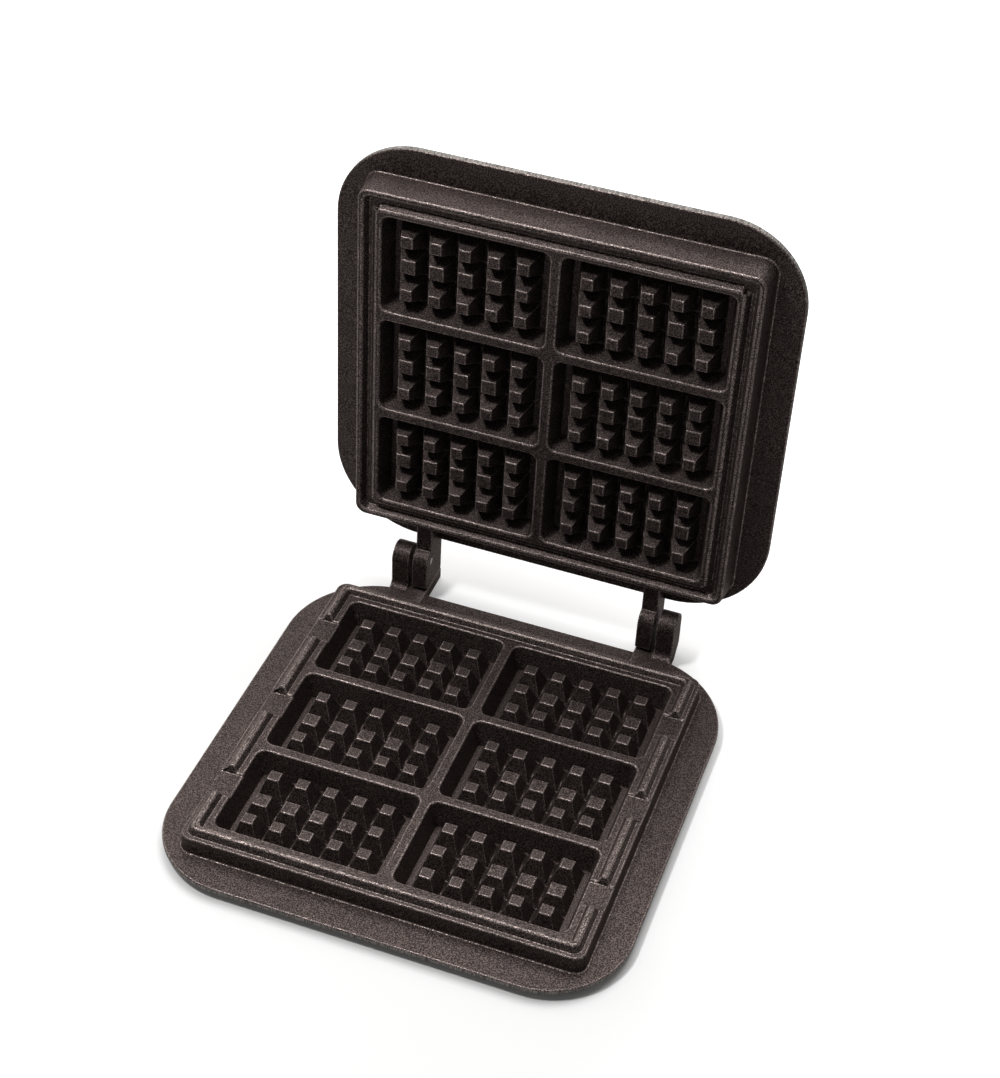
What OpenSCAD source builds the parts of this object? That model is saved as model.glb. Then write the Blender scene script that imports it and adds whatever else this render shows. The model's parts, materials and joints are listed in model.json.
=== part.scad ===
/* [Waffle pattern] */
// Waffles side by side across the plate
cell_cols = 2; // [2:1:3]
// Waffles from front to back
cell_rows = 3; // [2:1:4]
// Pegs along each waffle
pegs_along = 5; // [3:1:6]
// Pegs across each waffle, an odd number so that one row carries the stick
pegs_across = 3; // [3:2:5]
// Distance between neighbouring pegs
peg_pitch = 19; // [16:0.5:22]
// Flat strip of floor between the feet of two pegs
peg_gap = 1.2; // [0.6:0.1:3]
// Width of a peg at its tip
peg_tip = 7.7; // [5:0.1:10]
// Height of a peg
peg_h = 14.4; // [10:0.2:18]
// Depth to which a row of pegs is set into the floor
peg_seat = 1; // [0.5:0.1:2]
// How much lower the pegs under the stick are
stick_peg_cut = 2.75; // [0:0.25:5]
// Floor between the end pegs and the foot of the pocket wall
end_margin = 3.8; // [1:0.1:8]
// Floor between the side pegs and the foot of the pocket wall
side_margin = 1.9; // [1:0.1:6]
// How far a pocket wall leans out from its foot to its edge
wall_lean = 4.5; // [1:0.1:4.8]
// Corner radius at the edge of a pocket
pocket_r = 6; // [5:0.1:9]
// Width of the bars between pockets
divider_w = 6.4; // [4:0.1:12]

/* [Lower plate] */
// Thickness under the pockets
floor_t = 4; // [3:0.1:8]
// Height of the bars above the peg tips
land_h = 3; // [1:0.1:6]
// Flat band between the pockets and the rib
land_w = 4.1; // [2:0.1:10]
// Height of the rib above the bars
rib_h = 3.9; // [2:0.1:8]
// Width of the rib along its top
rib_top_w = 2.8; // [1.5:0.1:6]
// Lean of each flank of the rib
rib_lean = 2.7; // [1:0.1:4]
// Corner radius on the outside of the rib top
rib_r = 3.4; // [3:0.1:8]
// Width of the ledge outside the rib
ledge_w = 3; // [1:0.1:8]
// Depth of the ledge below the bars
ledge_drop = 0.5; // [0.1:0.1:2]
// Lean of the outer wall below the ledge
block_lean = 1; // [0.2:0.1:3]
// Corner radius of the block at the ledge
block_r = 7; // [4:0.5:12]
// Thickness of the flange
flange_t = 4; // [3:0.1:8]
// Height of the flange underside above the table
flange_lift = 5; // [2:0.1:8]
// Width of the flange outside the block
flange_w = 20.4; // [12:0.1:30]
// Radius of the two front corners of the flange
front_r = 54; // [30:1:70]
// Radius of the two rear corners of the flange
rear_r = 62; // [30:1:70]
// Step from the foot of the outer wall in to the pan below the flange
pan_inset = 4; // [1:0.1:10]
// Lean of the pan wall
pan_lean = 4; // [1:0.1:6]

/* [Stick channels] */
// Width of a channel floor, for a flat wooden stick
stick_w = 18.5; // [10:0.5:24]
// Lean of each channel side up to the rib top
stick_lean = 2.6; // [0.5:0.1:5]
// Depth of the channel floor below the bars
stick_drop = 1.2; // [0.6:0.1:2.4]

/* [Upper plate] */
// Distance between the peg tips of both plates when closed
tip_gap = 3.4; // [3.1:0.1:8]
// Gap on each side of the rib when closed
rim_gap = 0.6; // [0.3:0.1:1.5]
// Gap over the rib top when closed
rib_top_gap = 1.2; // [0.5:0.1:3]
// Width of the ridge that closes round the rib
ridge_w = 3.4; // [2:0.1:8]
// Depth from the ridge to the upper flange
lid_depth = 20.5; // [17:0.5:28]
// Lean of the upper plate's outer wall
lid_lean = 2.4; // [0.5:0.1:5]
// Thickness of the upper flange
lid_flange_t = 5; // [3:0.1:8]
// Width of the upper flange outside the wall
lid_flange_w = 20; // [12:0.1:30]
// Thickness over the upper pockets
lid_floor_t = 4.5; // [3:0.1:8]
// Wall left round the recess in the back of the upper plate
recess_wall = 14; // [8:0.5:24]
// Corner radius of that recess
recess_r = 12; // [6:0.5:20]
// Angle to which the upper plate opens
open_angle = 92; // [80:1:110]

/* [Hinges] */
// Distance of the hinge axis behind the lower flange
hinge_back = 12; // [11:0.5:20]
// Height of the hinge axis above the face where the plates meet
hinge_rise = 8.2; // [7:0.1:12]
// Half the distance between the inner faces of the two hinges
hinge_in = 75.5; // [50:0.5:95]
// Width of an arm of the upper plate
arm_w = 11; // [8:0.5:16]
// Side gap between an arm and its knuckle
knuckle_gap = 2.5; // [0.5:0.1:4]
// Width of a knuckle of the lower plate
knuckle_w = 12.5; // [8:0.5:20]
// Radius of all knuckles
knuckle_r = 9.5; // [7:0.1:10.5]
// Radius of the hollow where a knuckle of the lower plate meets its foot
knuckle_foot_r = 5; // [1:0.5:8]
// Depth of an arm on the near side of the hinge axis
arm_under = 2; // [0:0.1:4]
// How far an arm stands out of the back of the upper plate
arm_proud = 1.7; // [0:0.1:4]
// Corner radius at the back of the arm's heel
heel_r = 2; // [0.5:0.1:5]
// Gap between the heel and the foot that stops it
heel_gap = 0.4; // [0.3:0.1:1]
// Diameter of a hinge pin
pin_d = 4.5; // [3:0.1:8]
// Radial clearance of the pin in the arm
pin_clear = 0.05; // [0.02:0.01:0.1]
// Wall left behind the pin's blind hole
pin_wall = 3; // [1.5:0.1:5]
// How deep the pin's end sits in the arm's face
pin_recess = 0.3; // [0.1:0.1:1]

/* [Hidden] */
$fn = 96;
// how far a cut runs past what it cuts, and the size of a block that takes in everything on one side
over = 1;
reach = 1000;
// how far each layer of a casting starts inside the layer that carries it
seat = 0.2;
// how far a plane between two sections stays clear of the round corners of the pockets
section_clear = 0.5;
coating = [0.13, 0.115, 0.105];
steel = [0.72, 0.72, 0.70];

// waffle pattern
peg_foot = peg_pitch - peg_gap;
floor_half = [((pegs_along - 1) * peg_pitch + peg_foot) / 2 + end_margin,
              ((pegs_across - 1) * peg_pitch + peg_foot) / 2 + side_margin];
pocket_half = floor_half + [wall_lean, wall_lean];
cell_pitch = 2 * pocket_half + [divider_w, divider_w];
field_half = [(cell_cols - 1) * cell_pitch.x / 2, (cell_rows - 1) * cell_pitch.y / 2] + pocket_half;
floor_r = pocket_r - wall_lean;

// planes between the sections of a plate, at or just inside the feet of the pocket walls
open_half = floor_half - [0, floor_r + section_clear];
core = [(cell_cols - 1) * cell_pitch.x / 2, (cell_rows - 1) * cell_pitch.y / 2] + open_half;
bar_half = cell_pitch / 2 - open_half;
row_half = [((pegs_along - 1) * peg_pitch + peg_foot) / 2, peg_foot / 2];

// levels of the lower plate, from the table up
tip_z = floor_t + peg_h;
land_z = tip_z + land_h;
ledge_z = land_z - ledge_drop;
rib_z = land_z + rib_h;
flange_z = flange_lift + flange_t;
channel_z = land_z - stick_drop;

// the rib's flanks: inner foot at the bars, outer foot at the ledge
rib_slope_in = rib_lean / rib_h;
rib_slope_out = rib_lean / (rib_h + ledge_drop);
rib_foot_in = field_half + [land_w, land_w];
rib_top_in = rib_foot_in + [rib_lean, rib_lean];
rib_top_out = rib_top_in + [rib_top_w, rib_top_w];
rib_foot_out = rib_top_out + [rib_lean, rib_lean];
rib_r_in = max(rib_r - rib_lean, 0.5);

// outer wall and flange of the lower plate
ledge_half = rib_foot_out + [ledge_w, ledge_w];
block_half = ledge_half + [block_lean, block_lean];
block_slope = block_lean / (ledge_z - flange_z);
flange_half = block_half + [flange_w, flange_w];
pan_half = block_half - [pan_inset, pan_inset];

// levels of the upper plate, given in the closed pose
mate_z = tip_z + tip_gap;
lid_pocket_z = mate_z + peg_h;
groove_z = rib_z + rib_top_gap;
lid_flange_z = mate_z + lid_depth;
lid_back_z = lid_flange_z + lid_flange_t;
recess_z = lid_pocket_z + lid_floor_t;

// groove of the upper plate, a fixed gap away from the rib
frame_half = rib_foot_in + (mate_z - land_z) * rib_slope_in * [1, 1] - [rim_gap, rim_gap];
ridge_in_half = rib_foot_out - (mate_z - ledge_z) * rib_slope_out * [1, 1] + [rim_gap, rim_gap];
ridge_half = ridge_in_half + [ridge_w, ridge_w];
ridge_r = rib_r + rim_gap + ridge_w;
lid_foot_half = ridge_half + [lid_lean, lid_lean];
lid_flange_half = lid_foot_half + [lid_flange_w, lid_flange_w];
recess_half = lid_foot_half - [recess_wall, recess_wall];

// hinge
hinge_y = flange_half.y + hinge_back;
hinge_h = mate_z + hinge_rise;
arm_over = lid_back_z + arm_proud - hinge_h;
arm_out = hinge_in + arm_w;
knuckle_in = arm_out + knuckle_gap;
knuckle_out = knuckle_in + knuckle_w;
lean_back = open_angle - 90;
heel_reach = hinge_h - flange_z - heel_gap;
heel_len = min((heel_reach - arm_over * sin(lean_back)) / cos(lean_back), heel_reach);
foot_len = arm_over * cos(lean_back);
pin_end = knuckle_out - pin_wall;

// Box with rounded corners whose walls lean out by slope per unit of height
module leaning_box(half, r, z0, z1, slope) {
    core = half - [r, r];
    grow = slope * (z1 - z0);
    rotate([90, 0, 0])
        linear_extrude(2 * core.y, center = true)
            polygon([[-half.x, z0], [half.x, z0], [half.x + grow, z1], [-half.x - grow, z1]]);
    rotate([90, 0, 90])
        linear_extrude(2 * core.x, center = true)
            polygon([[-half.y, z0], [half.y, z0], [half.y + grow, z1], [-half.y - grow, z1]]);
    for (x = [-core.x, core.x], y = [-core.y, core.y])
        translate([x, y, z0])
            cylinder(h = z1 - z0, r1 = r, r2 = r + grow);
}

// Upright block from height z0 to z1
module slab(half, z0, z1) {
    rotate([90, 0, 0])
        linear_extrude(2 * half.y, center = true)
            polygon([[-half.x, z0], [half.x, z0], [half.x, z1], [-half.x, z1]]);
}

// Flange outline with its own radius at the front and at the rear
module flange_outline(half) {
    polygon([
        [front_r - half.x, -half.y], [half.x - front_r, -half.y],
        [half.x, front_r - half.y], [half.x, half.y - rear_r],
        [half.x - rear_r, half.y], [rear_r - half.x, half.y],
        [-half.x, half.y - rear_r], [-half.x, front_r - half.y]
    ]);
    for (side = [-1, 1]) {
        translate([side * (half.x - front_r), front_r - half.y])
            circle(front_r);
        translate([side * (half.x - rear_r), half.y - rear_r])
            circle(rear_r);
    }
}

// Shape repeated at the centre of every waffle
module each_cell() {
    for (col = [0 : cell_cols - 1], row = [0 : cell_rows - 1])
        translate([(col - (cell_cols - 1) / 2) * cell_pitch.x, (row - (cell_rows - 1) / 2) * cell_pitch.y, 0])
            children();
}

// Outline of one peg from its foot to its tip and down again
peg_outline = [[-peg_foot / 2, floor_t], [-peg_tip / 2, tip_z], [peg_tip / 2, tip_z], [peg_foot / 2, floor_t]];

// Rows of pegs, each on the strip that is set into the floor; the stick rows are cut lower
module pegs() {
    seat_z = floor_t - peg_seat;
    stick_x = cell_cols * cell_pitch.x / 2;
    full_x = (stick_x - cell_pitch.x / 2) - (pegs_along / 2 - 1) * peg_pitch;
    difference() {
        intersection() {
            rotate([90, 0, 0])
                linear_extrude(2 * field_half.y, center = true)
                    for (cell = [0 : cell_cols - 1])
                        translate([(cell - (cell_cols - 1) / 2) * cell_pitch.x, 0])
                            polygon(concat(
                                [[-row_half.x, seat_z]],
                                [for (peg = [0 : pegs_along - 1], p = peg_outline)
                                    [(peg - (pegs_along - 1) / 2) * peg_pitch + p.x, p.y]],
                                [[row_half.x, seat_z]]));
            rotate([90, 0, 90])
                linear_extrude(2 * field_half.x, center = true)
                    for (cell = [0 : cell_rows - 1], row = [0 : pegs_across - 1])
                        translate([(cell - (cell_rows - 1) / 2) * cell_pitch.y
                                   + (row - (pegs_across - 1) / 2) * peg_pitch, 0])
                            polygon(concat([[-row_half.y, seat_z]], peg_outline, [[row_half.y, seat_z]]));
        }
        for (side = [0, 1], row = [0 : cell_rows - 1])
            mirror([side, 0, 0])
                translate([full_x, (row - (cell_rows - 1) / 2) * cell_pitch.y - peg_pitch / 2, tip_z - stick_peg_cut])
                    cube([stick_x, peg_pitch, stick_peg_cut + over]);
    }
}

// Seats in the floor for the strips of the peg rows
module peg_seats() {
    each_cell()
        for (row = [0 : pegs_across - 1])
            translate([-row_half.x, (row - (pegs_across - 1) / 2) * peg_pitch - row_half.y, floor_t - peg_seat])
                cube([2 * row_half.x, 2 * row_half.y, peg_seat + over]);
}

// Part of its child from height z0 to z1 that lies at the front, at the rear, at one side, or in a bar
module front_section(z0, z1) {
    intersection() {
        children();
        translate([0, -core.y - reach / 2, 0])
            slab([reach, reach / 2], z0, z1);
    }
}

module rear_section(z0, z1) {
    intersection() {
        children();
        translate([0, core.y + reach / 2, 0])
            slab([reach, reach / 2], z0, z1);
    }
}

module side_section(side, z0, z1) {
    intersection() {
        children();
        translate([side * (core.x + reach / 2), 0, 0])
            slab([reach / 2, core.y], z0, z1);
    }
}

module centre_section(z0, z1) {
    intersection() {
        children();
        for (gap = [1 : cell_cols - 1])
            translate([(gap - cell_cols / 2) * cell_pitch.x, 0, 0])
                slab([bar_half.x, core.y], z0, z1);
    }
}

module cross_section(z0, z1) {
    intersection() {
        children();
        for (col = [0 : cell_cols - 1], gap = [1 : cell_rows - 1])
            translate([(col - (cell_cols - 1) / 2) * cell_pitch.x, (gap - cell_rows / 2) * cell_pitch.y,
                       (z0 + z1) / 2])
                cube([2 * open_half.x, cell_pitch.y - 2 * (floor_half.y - floor_r), z1 - z0], center = true);
    }
}

// Rib that closes into the groove of the upper plate
module rib() {
    difference() {
        leaning_box(rib_foot_out + rib_slope_out * [seat, seat], rib_r + rib_lean + rib_slope_out * seat,
                    ledge_z - seat, rib_z, -rib_slope_out);
        leaning_box(rib_foot_in, rib_r_in, land_z, rib_z + over, rib_slope_in);
    }
}

// Channels through the rib, one at each end waffle, on the stick's centre line
module stick_channels() {
    lean = stick_lean * (rib_z + over - channel_z) / (rib_z - channel_z);
    for (side = [0, 1], row = [0 : cell_rows - 1])
        mirror([side, 0, 0])
            translate([field_half.x - over, (row - (cell_rows - 1) / 2) * cell_pitch.y, 0])
                rotate([90, 0, 90])
                    linear_extrude(block_half.x - field_half.x + 2 * over)
                        polygon([[-stick_w / 2, channel_z], [stick_w / 2, channel_z],
                                 [stick_w / 2 + lean, rib_z + over], [-stick_w / 2 - lean, rib_z + over]]);
}

// Knuckle of the lower plate, on its foot behind the flange
module base_knuckle() {
    difference() {
        union() {
            translate([knuckle_in, 0, 0])
                rotate([90, 0, 90])
                    linear_extrude(knuckle_w) {
                        translate([hinge_y, hinge_h])
                            circle(knuckle_r);
                        polygon([[hinge_y - knuckle_r, 0], [hinge_y, 0],
                                 [hinge_y + knuckle_r, flange_z], [hinge_y + knuckle_r, hinge_h],
                                 [hinge_y - knuckle_r, hinge_h]]);
                        difference() {
                            translate([hinge_y - knuckle_r - knuckle_foot_r, flange_z - over])
                                square([knuckle_foot_r + over, knuckle_foot_r + over]);
                            translate([hinge_y - knuckle_r - knuckle_foot_r, flange_z + knuckle_foot_r])
                                circle(knuckle_foot_r);
                        }
                    }
            translate([hinge_in, flange_half.y - hinge_back, 0])
                cube([knuckle_out - hinge_in, 2 * hinge_back, flange_z]);
            translate([hinge_in, flange_half.y - hinge_back, 0])
                cube([arm_w, 2 * hinge_back + foot_len, flange_z]);
        }
        translate([hinge_in, hinge_y, hinge_h])
            rotate([0, 90, 0])
                cylinder(h = pin_end - hinge_in + pin_recess, d = pin_d);
    }
}

// Lower plate without its pegs and knuckles
module lower_casting() {
    difference() {
        union() {
            leaning_box(pan_half - [pan_lean, pan_lean], block_r, 0, flange_lift + seat, pan_lean / flange_lift);
            translate([0, 0, flange_lift])
                linear_extrude(flange_t)
                    flange_outline(flange_half);
            leaning_box(block_half + block_slope * [seat, seat], block_r + block_lean + block_slope * seat,
                        flange_z - seat, ledge_z, -block_slope);
            rib();
        }
        each_cell()
            leaning_box(floor_half, floor_r, floor_t, land_z + over, wall_lean / (peg_h + land_h));
        stick_channels();
        for (side = [-1, 1])
            translate([side * (hinge_in + knuckle_out) / 2, flange_half.y - hinge_back + reach / 2, 0])
                slab([knuckle_out - hinge_in, reach] / 2, -over, reach);
    }
}

module lower_floor() {
    color(coating)
        difference() {
            intersection() {
                lower_casting();
                slab([reach, reach], 0, floor_t);
            }
            peg_seats();
        }
}

module lower_front_rim() {
    color(coating)
        front_section(floor_t, rib_z + over)
            lower_casting();
}

module lower_rear_rim() {
    color(coating)
        rear_section(floor_t, rib_z + over)
            lower_casting();
}

module lower_left_rim() {
    color(coating)
        side_section(-1, floor_t, rib_z + over)
            lower_casting();
}

module lower_right_rim() {
    color(coating)
        side_section(1, floor_t, rib_z + over)
            lower_casting();
}

module lower_centre_bar() {
    color(coating)
        centre_section(floor_t, rib_z + over)
            lower_casting();
}

module lower_cross_bars() {
    color(coating)
        cross_section(floor_t, rib_z + over)
            lower_casting();
}

module lower_pegs() {
    color(coating)
        pegs();
}

module left_knuckle() {
    color(coating)
        mirror([1, 0, 0])
            base_knuckle();
}

module right_knuckle() {
    color(coating)
        base_knuckle();
}

// Arm of the upper plate, closed: its heel swings down onto the lower foot
module lid_arm() {
    heel_y = hinge_y + heel_len;
    difference() {
        translate([hinge_in, 0, 0])
            rotate([90, 0, 90])
                linear_extrude(arm_w) {
                    translate([hinge_y, hinge_h])
                        circle(knuckle_r);
                    translate([ridge_in_half.y, hinge_h - arm_under])
                        square([hinge_y + over - ridge_in_half.y, arm_under + arm_over]);
                    translate([hinge_y, hinge_h])
                        square([heel_len - heel_r, arm_over]);
                    translate([hinge_y, hinge_h])
                        square([heel_len, arm_over - heel_r]);
                    translate([heel_y - heel_r, hinge_h + arm_over - heel_r])
                        circle(heel_r);
                    intersection() {
                        translate([hinge_y, hinge_h])
                            circle(heel_reach);
                        translate([hinge_y, hinge_h - knuckle_r])
                            square([heel_len, knuckle_r + over]);
                    }
                }
        translate([hinge_in - over, hinge_y, hinge_h])
            rotate([0, 90, 0])
                cylinder(h = arm_w + 2 * over, d = pin_d + 2 * pin_clear);
    }
}

// Upper plate without its pegs and arms, in the closed pose with its mating face down
module upper_casting() {
    difference() {
        union() {
            leaning_box(ridge_half, ridge_r, mate_z, lid_flange_z + seat, lid_lean / lid_depth);
            translate([0, 0, lid_flange_z])
                linear_extrude(lid_flange_t)
                    flange_outline(lid_flange_half);
        }
        difference() {
            leaning_box(ridge_in_half + rib_slope_out * [over, over], rib_r + rib_lean, mate_z - over, groove_z,
                        -rib_slope_out);
            leaning_box(frame_half - rib_slope_in * [over, over], rib_r_in, mate_z - over, groove_z + over,
                        rib_slope_in);
        }
        each_cell()
            leaning_box(pocket_half + wall_lean / peg_h * [over, over], pocket_r, mate_z - over, lid_pocket_z,
                        -wall_lean / peg_h);
        leaning_box(recess_half, recess_r, recess_z, lid_back_z + over, 0);
        for (side = [-1, 1])
            translate([side * (hinge_in + arm_out) / 2, ridge_in_half.y + reach / 2, 0])
                slab([arm_w, reach] / 2, hinge_h - arm_under, reach);
    }
}

// Turns the closed upper plate about the hinge to its open pose
module opened() {
    translate([0, hinge_y, hinge_h])
        rotate([-open_angle, 0, 0])
            translate([0, -hinge_y, -hinge_h])
                children();
}

// Turns the pegs of the lower plate over, so that they hang from the upper plate
module facing_down() {
    translate([0, 0, tip_z + mate_z])
        mirror([0, 0, 1])
            children();
}

module upper_back() {
    color(coating)
        opened()
            difference() {
                intersection() {
                    upper_casting();
                    slab([reach, reach], lid_pocket_z, reach);
                }
                facing_down()
                    peg_seats();
            }
}

module upper_front_rim() {
    color(coating)
        opened()
            front_section(mate_z - over, lid_pocket_z)
                upper_casting();
}

module upper_rear_rim() {
    color(coating)
        opened()
            rear_section(mate_z - over, lid_pocket_z)
                upper_casting();
}

module upper_left_rim() {
    color(coating)
        opened()
            side_section(-1, mate_z - over, lid_pocket_z)
                upper_casting();
}

module upper_right_rim() {
    color(coating)
        opened()
            side_section(1, mate_z - over, lid_pocket_z)
                upper_casting();
}

module upper_centre_bar() {
    color(coating)
        opened()
            centre_section(mate_z - over, lid_pocket_z)
                upper_casting();
}

module upper_cross_bars() {
    color(coating)
        opened()
            cross_section(mate_z - over, lid_pocket_z)
                upper_casting();
}

module upper_pegs() {
    color(coating)
        opened()
            facing_down()
                pegs();
}

module left_arm() {
    color(coating)
        opened()
            mirror([1, 0, 0])
                lid_arm();
}

module right_arm() {
    color(coating)
        opened()
            lid_arm();
}

// Hinge pin, pressed into the knuckle and running in the arm
module hinge_pin() {
    color(steel)
        translate([hinge_in + pin_recess, hinge_y, hinge_h])
            rotate([0, 90, 0])
                cylinder(h = pin_end - hinge_in - pin_recess, d = pin_d);
}

module left_hinge_pin() {
    mirror([1, 0, 0])
        hinge_pin();
}

module right_hinge_pin() {
    hinge_pin();
}

lower_floor();
lower_front_rim();
lower_rear_rim();
lower_left_rim();
lower_right_rim();
lower_centre_bar();
lower_cross_bars();
lower_pegs();
left_knuckle();
right_knuckle();
upper_back();
upper_front_rim();
upper_rear_rim();
upper_left_rim();
upper_right_rim();
upper_centre_bar();
upper_cross_bars();
upper_pegs();
left_arm();
right_arm();
left_hinge_pin();
right_hinge_pin();
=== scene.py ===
"""Looks of the hinged waffle plates: rounded castings, non-stick coating, steel pins, studio and camera."""
import json
import math

import bmesh
import bpy
from mathutils import Matrix, Vector
from mathutils.bvhtree import BVHTree


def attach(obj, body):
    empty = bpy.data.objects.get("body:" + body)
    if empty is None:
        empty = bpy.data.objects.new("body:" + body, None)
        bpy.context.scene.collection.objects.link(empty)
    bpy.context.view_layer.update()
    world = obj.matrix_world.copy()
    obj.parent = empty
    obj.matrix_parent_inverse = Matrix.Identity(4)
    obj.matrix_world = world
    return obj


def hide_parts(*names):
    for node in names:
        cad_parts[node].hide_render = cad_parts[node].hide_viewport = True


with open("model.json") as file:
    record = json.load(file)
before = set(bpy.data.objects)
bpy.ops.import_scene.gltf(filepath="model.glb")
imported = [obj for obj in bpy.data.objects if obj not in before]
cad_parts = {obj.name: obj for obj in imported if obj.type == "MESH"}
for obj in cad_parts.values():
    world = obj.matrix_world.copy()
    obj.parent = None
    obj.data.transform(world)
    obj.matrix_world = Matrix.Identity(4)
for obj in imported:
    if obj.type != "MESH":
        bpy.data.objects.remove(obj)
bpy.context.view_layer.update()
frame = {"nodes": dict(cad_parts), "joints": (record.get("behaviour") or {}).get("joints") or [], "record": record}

MM = 0.001
PINS = ("left_hinge_pin", "right_hinge_pin")

# ---------------------------------------------------------------- camera
# Fitted to the grid of pegs in the photograph: metres, degrees, and pixels of the 1000 x 1078 image.
# The sensor, in millimetres, lies along the longer side of that image.
CAMERA_PLACE = Vector((0.31862, -0.88425, 1.00438))
CAMERA_AZIMUTH = 18.334
CAMERA_ELEVATION = 40.522
CAMERA_ROLL = 2.657
FOCAL_PIXELS = 2146.4
FRAME_HEIGHT = 1078
SENSOR = 36.0
NEAREST, FARTHEST = 0.01, 50


def new_object(name, data):
    """Object in the scene for a camera, lamp or mesh."""
    made = bpy.data.objects.new(name, data)
    bpy.context.scene.collection.objects.link(made)
    return made


def add_camera():
    """Camera at its azimuth and elevation, rolled about its own axis."""
    azimuth, elevation = math.radians(CAMERA_AZIMUTH), math.radians(CAMERA_ELEVATION)
    flat = math.cos(elevation)
    back = Vector((math.sin(azimuth) * flat, -math.cos(azimuth) * flat, math.sin(elevation)))
    level = Vector((0, 0, 1)).cross(back).normalized()
    roll = Matrix.Rotation(math.radians(CAMERA_ROLL), 3, back)
    axes = Matrix((roll @ level, roll @ back.cross(level), back)).transposed()
    data = bpy.data.cameras.new("camera")
    data.sensor_width = SENSOR
    data.lens = FOCAL_PIXELS * SENSOR / FRAME_HEIGHT
    data.clip_start, data.clip_end = NEAREST, FARTHEST
    camera = new_object("camera", data)
    camera.matrix_world = Matrix.Translation(CAMERA_PLACE) @ axes.to_4x4()
    bpy.context.scene.camera = camera


# ---------------------------------------------------------------- node helpers
def new_tree(owner):
    """Empty node tree of a material or world, with a maker of nodes and a linker."""
    owner.use_nodes = True
    tree = owner.node_tree
    tree.nodes.clear()

    def node(kind, sockets=None, **settings):
        made = tree.nodes.new("ShaderNode" + kind)
        for key, value in settings.items():
            setattr(made, key, value)
        for socket, value in (sockets or {}).items():
            made.inputs[socket].default_value = value
        return made

    def link(source, target):
        tree.links.new(source, target)

    return node, link


def between(low, high):
    """Sockets of a MapRange that reads from these two values."""
    return {"From Min": low, "From Max": high}


def onto(low, high):
    """Sockets of a MapRange that gives these two values."""
    return {"To Min": low, "To Max": high}


# ---------------------------------------------------------------- studio
# The sweep is the bright part of the world. It is full where a direction leans this far towards its side
# and fades out between these two heights, as parts of a unit vector. Then come the strengths off and on it.
SWEEP_SIDE = (-0.45, 0.89, 0)
SWEEP_FULL = 0.6
SWEEP_FADE, SWEEP_TOP = 0.6, 0.9
SWEEP_DIM, SWEEP_LIT = 0.10, 1.05
SWEEP_COLOUR = (1.0, 0.98, 0.96, 1)
WHITE = (1, 1, 1, 1)

# The table: half its side, and its tone to the camera and to every other ray. For the camera it also
# glows, from almost nothing near the centre of the shadow to full white farther out.
TABLE_REACH = 6.0
TABLE_SEEN, TABLE_LIT = 0.86, 0.42
SHADOW_CENTRE = (-0.05, -0.12, 0)
SHADOW_INNER, SHADOW_OUTER = 0.18, 0.56
GLOW_INNER, GLOW_OUTER = 0.03, 1.0


def add_area(name, place, aim, size, power):
    """Rectangular lamp at a place, turned to its aim: metres and watts."""
    data = bpy.data.lights.new(name, "AREA")
    data.shape = "RECTANGLE"
    data.size, data.size_y = size
    data.energy = power
    lamp = new_object(name, data)
    lamp.location = place
    lamp.rotation_mode = "QUATERNION"
    lamp.rotation_quaternion = (Vector(aim) - Vector(place)).to_track_quat("-Z", "Y")


def add_world():
    """White where the camera looks past the table; all other rays see the pale sweep behind the object."""
    world = bpy.data.worlds.new("studio")
    bpy.context.scene.world = world
    node, link = new_tree(world)
    way = node("TexCoord")
    parts = node("SeparateXYZ")
    toward = node("VectorMath", {1: SWEEP_SIDE}, operation="DOT_PRODUCT")
    behind = node("MapRange", between(0, SWEEP_FULL))
    low = node("MapRange", between(SWEEP_TOP, SWEEP_FADE))
    sweep = node("Math", operation="MULTIPLY")
    strength = node("MapRange", onto(SWEEP_DIM, SWEEP_LIT))
    path = node("LightPath")
    seen = node("Background", {"Color": WHITE})
    lit = node("Background", {"Color": SWEEP_COLOUR})
    mix = node("MixShader")
    out = node("OutputWorld")
    link(way.outputs["Generated"], parts.inputs[0])
    link(way.outputs["Generated"], toward.inputs[0])
    link(toward.outputs["Value"], behind.inputs["Value"])
    link(parts.outputs["Z"], low.inputs["Value"])
    link(behind.outputs["Result"], sweep.inputs[0])
    link(low.outputs["Result"], sweep.inputs[1])
    link(sweep.outputs[0], strength.inputs["Value"])
    link(strength.outputs["Result"], lit.inputs["Strength"])
    link(path.outputs["Is Camera Ray"], mix.inputs[0])
    link(lit.outputs[0], mix.inputs[1])
    link(seen.outputs[0], mix.inputs[2])
    link(mix.outputs[0], out.inputs[0])


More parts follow.
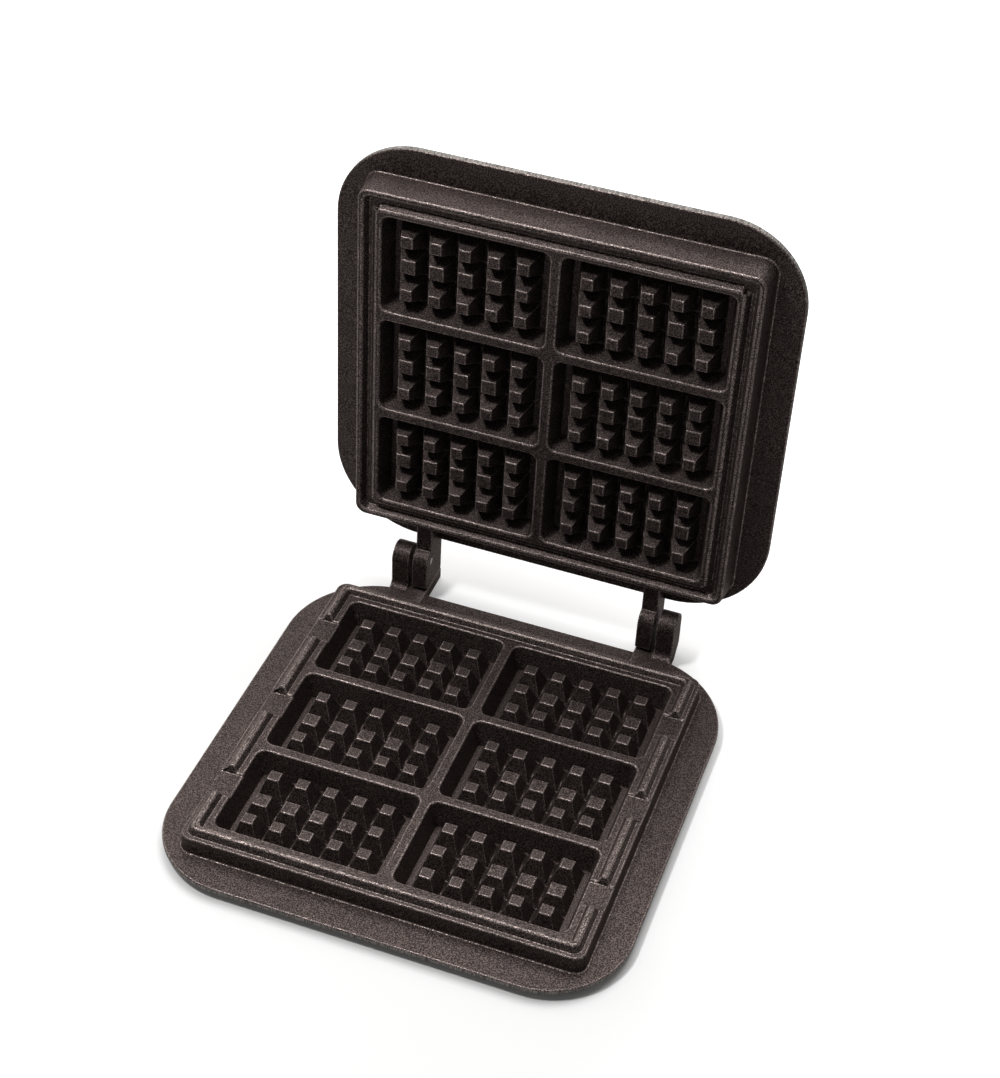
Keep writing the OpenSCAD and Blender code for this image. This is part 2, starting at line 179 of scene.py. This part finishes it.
def table_white():
    """White to the camera, with the shadow kept near the object, and a middle grey to every other ray."""
    material = bpy.data.materials.new("white_floor")
    node, link = new_tree(material)
    path = node("LightPath")
    place = node("TexCoord")
    shift = node("VectorMath", {1: SHADOW_CENTRE}, operation="SUBTRACT")
    away = node("VectorMath", operation="LENGTH")
    glow_range = {**between(SHADOW_INNER, SHADOW_OUTER), **onto(GLOW_INNER, GLOW_OUTER)}
    white = node("MapRange", glow_range, interpolation_type="SMOOTHSTEP")
    tone = node("MapRange", onto(TABLE_LIT, TABLE_SEEN))
    matt = node("BsdfDiffuse")
    glow = node("Emission")
    both = node("AddShader")
    level = node("Math", operation="MULTIPLY")
    out = node("OutputMaterial")
    link(place.outputs["Object"], shift.inputs[0])
    link(shift.outputs["Vector"], away.inputs[0])
    link(away.outputs["Value"], white.inputs["Value"])
    link(path.outputs["Is Camera Ray"], level.inputs[0])
    link(white.outputs["Result"], level.inputs[1])
    link(level.outputs[0], glow.inputs["Strength"])
    link(path.outputs["Is Camera Ray"], tone.inputs["Value"])
    link(tone.outputs["Result"], matt.inputs["Color"])
    link(matt.outputs[0], both.inputs[0])
    link(glow.outputs[0], both.inputs[1])
    link(both.outputs[0], out.inputs[0])
    return material


def add_floor():
    """Table top, level with the underside of the lower plate."""
    mesh = bpy.data.meshes.new("floor")
    signs = ((-1, -1), (1, -1), (1, 1), (-1, 1))
    corners = [(x * TABLE_REACH, y * TABLE_REACH, 0) for x, y in signs]
    mesh.from_pydata(corners, [], [(0, 1, 2, 3)])
    floor = new_object("floor", mesh)
    mesh.materials.append(table_white())


def add_studio():
    """Plain world, table and two soft lamps: a large one above and behind, a small one at the front left."""
    bpy.context.scene.view_settings.view_transform = "Standard"
    add_world()
    add_floor()
    add_area("top_softbox", place=(0.0, 0.42, 1.4), aim=(0, 0.02, 0), size=(1.1, 0.9), power=13)
    add_area("key_softbox", place=(-0.56, -0.40, 1.66), aim=(0, 0.05, 0.1), size=(0.26, 0.26), power=15)


# ---------------------------------------------------------------- materials
# The coating: a dark base with light specks. The specks are partly the coating's grain and partly painted glints.
COATING_DARK = (0.012, 0.0092, 0.0085)
COATING_SPECKS_AND_GLINTS = (0.135, 0.104, 0.096)
# The coating on rounded edges is lighter than on flat faces. This is partly real wear and partly painted
# highlight.
WORN_AND_HIGHLIT_DARK = (0.05, 0.040, 0.037)
WORN_AND_HIGHLIT_LIGHT = (0.38, 0.31, 0.29)
WARM_GLOSS = (1, 0.84, 0.80, 1)
# The milled flange edges: dark grooves and light crests. The crests' light tone is partly painted reflection of
# grazing light.
MILLED_DARK = (0.035, 0.032, 0.029, 1)
MILLED_LIGHT_AND_SHEEN = (0.36, 0.335, 0.31, 1)
STEEL = (0.62, 0.61, 0.59, 1)

# Fineness of each noise, and the depth of its bumps in metres.
GRAIN_SCALE, GRAIN_DEPTH = 1250, 0.25 * MM
CLOUD_SCALE = 38
MILLING_SCALE, MILLING_DEPTH = 1500, 0.1 * MM
PIN_LINE_SCALE = 2600

# Noise levels between which each colour changes. The light specks are partly grain and partly painted glints.
SPECKS_AND_GLINTS_FROM, SPECKS_AND_GLINTS_FULL = 0.42, 0.65
CLOUD_FROM, CLOUD_FULL = 0.3, 0.7
MILLING_FROM, MILLING_FULL = 0.35, 0.68

# How far the grain roughens and smooths the coating, and how rough the pins are.
DULLER, GLOSSIER = 0.12, 0.1
PIN_SMOOTH, PIN_ROUGH = 0.22, 0.42

# A noise is drawn out into lines by shrinking its coordinates along them.
MILLING_SHRINK, PIN_SHRINK = 0.03, 0.05


def coating(name, dark, specks_and_glints_colour, roughness, patch):
    """Dark non-stick coating on a blasted casting: fine bright specks over soft cloudy patches. The specks are
    partly the coating's grain and partly painted glints.
    """
    material = bpy.data.materials.new(name)
    node, link = new_tree(material)
    place = node("TexCoord")
    shader = node("BsdfPrincipled", {"Metallic": 0.55, "Specular Tint": WARM_GLOSS})
    out = node("OutputMaterial")
    link(shader.outputs[0], out.inputs["Surface"])

    grain = node("TexNoise", {"Scale": GRAIN_SCALE, "Detail": 2, "Roughness": 0.6})
    cloud = node("TexNoise", {"Scale": CLOUD_SCALE, "Detail": 4, "Roughness": 0.55})
    for texture in (grain, cloud):
        link(place.outputs["Object"], texture.inputs["Vector"])

    specks_and_glints = node("MapRange", between(SPECKS_AND_GLINTS_FROM, SPECKS_AND_GLINTS_FULL), interpolation_type="SMOOTHSTEP")
    link(grain.outputs["Fac"], specks_and_glints.inputs["Value"])
    colour = node("Mix", {6: (*dark, 1), 7: (*specks_and_glints_colour, 1)}, data_type="RGBA")
    link(specks_and_glints.outputs["Result"], colour.inputs[0])

    shade = node("MapRange", {**between(CLOUD_FROM, CLOUD_FULL), **onto(1 - patch, 1 + patch)})
    link(cloud.outputs["Fac"], shade.inputs["Value"])
    tint = node("VectorMath", operation="SCALE")
    link(colour.outputs[2], tint.inputs[0])
    link(shade.outputs["Result"], tint.inputs["Scale"])
    link(tint.outputs["Vector"], shader.inputs["Base Color"])

    gloss = node("MapRange", onto(roughness + DULLER, roughness - GLOSSIER))
    link(grain.outputs["Fac"], gloss.inputs["Value"])
    link(gloss.outputs["Result"], shader.inputs["Roughness"])

    bump = node("Bump", {"Strength": 1, "Distance": GRAIN_DEPTH})
    link(grain.outputs["Fac"], bump.inputs["Height"])
    link(bump.outputs[0], shader.inputs["Normal"])
    return material


def machined_edge_with_sheen(name, through):
    """Outer edge of a flange: thin coating over fine milling lines that run through the thickness. Their light
    crests are partly painted reflection of grazing light.
    """
    material = bpy.data.materials.new(name)
    node, link = new_tree(material)
    place = node("TexCoord")
    stretch = node("Mapping", {"Scale": through})
    lines = node("TexNoise", {"Scale": MILLING_SCALE, "Detail": 2})
    colour = node("ValToRGB")
    grooves, crests = colour.color_ramp.elements
    grooves.position = MILLING_FROM
    grooves.color = MILLED_DARK
    crests.position = MILLING_FULL
    crests.color = MILLED_LIGHT_AND_SHEEN
    shader = node("BsdfPrincipled", {"Metallic": 0.25, "Roughness": 0.42})
    bump = node("Bump", {"Strength": 0.4, "Distance": MILLING_DEPTH})
    out = node("OutputMaterial")
    link(place.outputs["Object"], stretch.inputs["Vector"])
    link(stretch.outputs[0], lines.inputs["Vector"])
    link(lines.outputs["Fac"], colour.inputs[0])
    link(colour.outputs[0], shader.inputs["Base Color"])
    link(lines.outputs["Fac"], bump.inputs["Height"])
    link(bump.outputs[0], shader.inputs["Normal"])
    link(shader.outputs[0], out.inputs["Surface"])
    return material


def pin_steel():
    """Bright drawn steel with fine lines along the pins."""
    material = bpy.data.materials.new("pin_steel")
    node, link = new_tree(material)
    place = node("TexCoord")
    stretch = node("Mapping", {"Scale": (PIN_SHRINK, 1, 1)})
    lines = node("TexNoise", {"Scale": PIN_LINE_SCALE})
    tone = node("MapRange", onto(PIN_SMOOTH, PIN_ROUGH))
    shader = node("BsdfPrincipled", {"Base Color": STEEL, "Metallic": 1})
    out = node("OutputMaterial")
    link(place.outputs["Object"], stretch.inputs["Vector"])
    link(stretch.outputs[0], lines.inputs["Vector"])
    link(lines.outputs["Fac"], tone.inputs["Value"])
    link(tone.outputs["Result"], shader.inputs["Roughness"])
    link(shader.outputs[0], out.inputs["Surface"])
    return material


# ---------------------------------------------------------------- castings
# Material slots of a section: flat faces, rounded edges in a lighter coating that is partly wear and partly
# painted highlight, and the milled edge of a flange, whose light tone is partly painted reflection.
PLAIN, WORN_AND_HIGHLIT, MILLED_AND_SHEEN = 0, 1, 2

# Tolerances: points that are one, flat faces that are one, an edge that gets rounded, sections that touch,
# heights that are equal, and the upward part of an upright face's normal.
SAME_POINT = 0.002 * MM
SAME_FACE = math.radians(0.3)
CORNER = math.radians(20)
CONTACT = 0.01 * MM
NEAR = 0.1 * MM
UPRIGHT = 0.05

# The bevel modifier has one width, and each edge's weight is its own radius as a share of that.
WIDEST = 2.0 * MM
EDGE, ROUNDER_EDGE = 0.9 * MM, 1.2 * MM
PEG_TOP, PEG_HIP = 0.7 * MM, 0.35 * MM
WALL_FILLET, FILLET = 0.8 * MM, 0.35 * MM
ROUNDING_STEPS = 3
LARGE_FACE_WEIGHT = 80

# Heights over the table with the plates closed: both flanges, the walls' feet on them, the mating face of the
# upper plate, and the band from the top of the rib to just under the upper flange. On that face and in that
# band the rims have rounder edges.
FLANGES = ((5 * MM, 9 * MM), (42.3 * MM, 47.3 * MM))
WALL_FEET = (FLANGES[0][1], FLANGES[1][0])
MATE = 21.8 * MM
BAND_FROM, BAND_TO = 24 * MM, WALL_FEET[1] - 3 * MM

# The outer edges of both flanges are farther than this from the middle. So are the corners of the recess in the
# back of the upper plate, which therefore get the milled finish, with its painted reflection, as well.
FLANGE_INNER = 130 * MM

hinge = frame["joints"][0]
hinge_place = Matrix.Translation(hinge["pos_m"])
hinge_turn = Matrix.Rotation(math.radians(hinge["range_deg"][1]), 4, hinge["axis"])
closing = hinge_place @ hinge_turn @ hinge_place.inverted()


def flat_copy(node):
    """The CAD node as a bmesh with whole flat faces instead of triangles."""
    body = bmesh.new()
    body.from_mesh(node.data)
    bmesh.ops.remove_doubles(body, verts=body.verts, dist=SAME_POINT)
    bmesh.ops.dissolve_limit(body, angle_limit=SAME_FACE, verts=body.verts, edges=body.edges)
    return body


def section_tree(name):
    """Search tree of the faces of a CAD section."""
    mesh = frame["nodes"][name].data
    points = [vertex.co for vertex in mesh.vertices]
    return BVHTree.FromPolygons(points, [face.vertices for face in mesh.polygons])


def touching(edge, others):
    """True where the middle of the edge lies on a neighbouring section of the same casting."""
    middle = (edge.verts[0].co + edge.verts[1].co) / 2
    return any(tree.find_nearest(middle, CONTACT)[0] is not None for tree in others)


def rounded(name, radius, rim, materials, others):
    """Copy of a CAD section whose free edges are rounded and whose seams stay flush."""
    body = flat_copy(frame["nodes"][name])
    weight = body.edges.layers.float.new("bevel_weight_edge")
    for edge in body.edges:
        angle = edge.calc_face_angle_signed(0)
        seam = touching(edge, others)
        edge.smooth = not seam
        if abs(angle) > CORNER and not seam:
            edge[weight] = radius(edge, angle) / WIDEST
    for face in body.faces:
        face.material_index = MILLED_AND_SHEEN if rim(face) else PLAIN
    mesh = bpy.data.meshes.new(name + "_cast")
    for material in materials:
        mesh.materials.append(material)
    body.to_mesh(mesh)
    body.free()
    mesh.polygons.foreach_set("use_smooth", [True] * len(mesh.polygons))
    piece = new_object(name + "_cast", mesh)
    bevel = piece.modifiers.new("rounding", "BEVEL")
    bevel.limit_method = "WEIGHT"
    bevel.width = WIDEST
    bevel.segments = ROUNDING_STEPS
    bevel.use_clamp_overlap = False
    # The rounded faces get the lighter coating, which is partly wear and partly painted highlight.
    bevel.material = WORN_AND_HIGHLIT
    even = piece.modifiers.new("even_shading", "WEIGHTED_NORMAL")
    even.mode = "FACE_AREA"
    even.weight = LARGE_FACE_WEIGHT
    even.keep_sharp = True
    return piece


def shape_rules(name):
    """Radius of an edge, and test for the milled edge of a flange, both judged with the plates closed."""
    shut = closing if name.startswith("upper") or name.endswith("arm") else Matrix()

    def radius(edge, angle):
        height = (shut @ ((edge.verts[0].co + edge.verts[1].co) / 2)).z
        if name.endswith("pegs"):
            level = abs((shut @ edge.verts[0].co - shut @ edge.verts[1].co).z) < NEAR
            return PEG_TOP if level and angle > 0 else PEG_HIP
        if angle < 0:
            at_foot = any(abs(height - foot) < NEAR for foot in WALL_FEET)
            return WALL_FILLET if at_foot else FILLET
        rounder = BAND_FROM < height < BAND_TO or abs(height - MATE) < NEAR
        return ROUNDER_EDGE if name.endswith("rim") and rounder else EDGE

    def rim(face):
        middle = shut @ face.calc_center_median()
        upright = abs((shut.to_3x3() @ face.normal).z) < UPRIGHT
        on_flange = any(low < middle.z < high for low, high in FLANGES)
        return name.endswith(("rim", "back")) and upright and on_flange and middle.xy.length > FLANGE_INNER

    return radius, rim


def add_castings():
    """Both castings, section by section, each section in place of its CAD node."""
    plain = coating("coating", COATING_DARK, COATING_SPECKS_AND_GLINTS, roughness=0.44, patch=0.12)
    # Rounded edges: a lighter coating, partly wear and partly painted highlight.
    worn_and_highlit = coating("worn_and_highlit_coating", WORN_AND_HIGHLIT_DARK, WORN_AND_HIGHLIT_LIGHT, roughness=0.34, patch=0.2)
    # Body, first word of its material names, and how the milling noise is shrunk along each axis at rest.
    castings = (("base", "lower", (1, 1, MILLING_SHRINK)), ("lid", "upper", (1, MILLING_SHRINK, 1)))
    for body, prefix, through in castings:
        names = [name for name in frame["record"]["behaviour"]["bodies"][body] if name not in PINS]
        trees = {name: section_tree(name) for name in names}
        # The milled flange edge is lighter than the coating, partly as painted reflection.
        milled_and_sheen = machined_edge_with_sheen(prefix + "_flange_edge_sheen", through)
        for name in names:
            others = [tree for other, tree in trees.items() if other != name]
            piece = rounded(name, *shape_rules(name), (plain, worn_and_highlit, milled_and_sheen), others)
            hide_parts(name)
            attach(piece, body)


def add_pins():
    """Steel on the two hinge pins, which keep their CAD shape."""
    steel = pin_steel()
    for pin in PINS:
        for slot in frame["nodes"][pin].material_slots:
            slot.material = steel


add_camera()
add_studio()
add_castings()
add_pins()
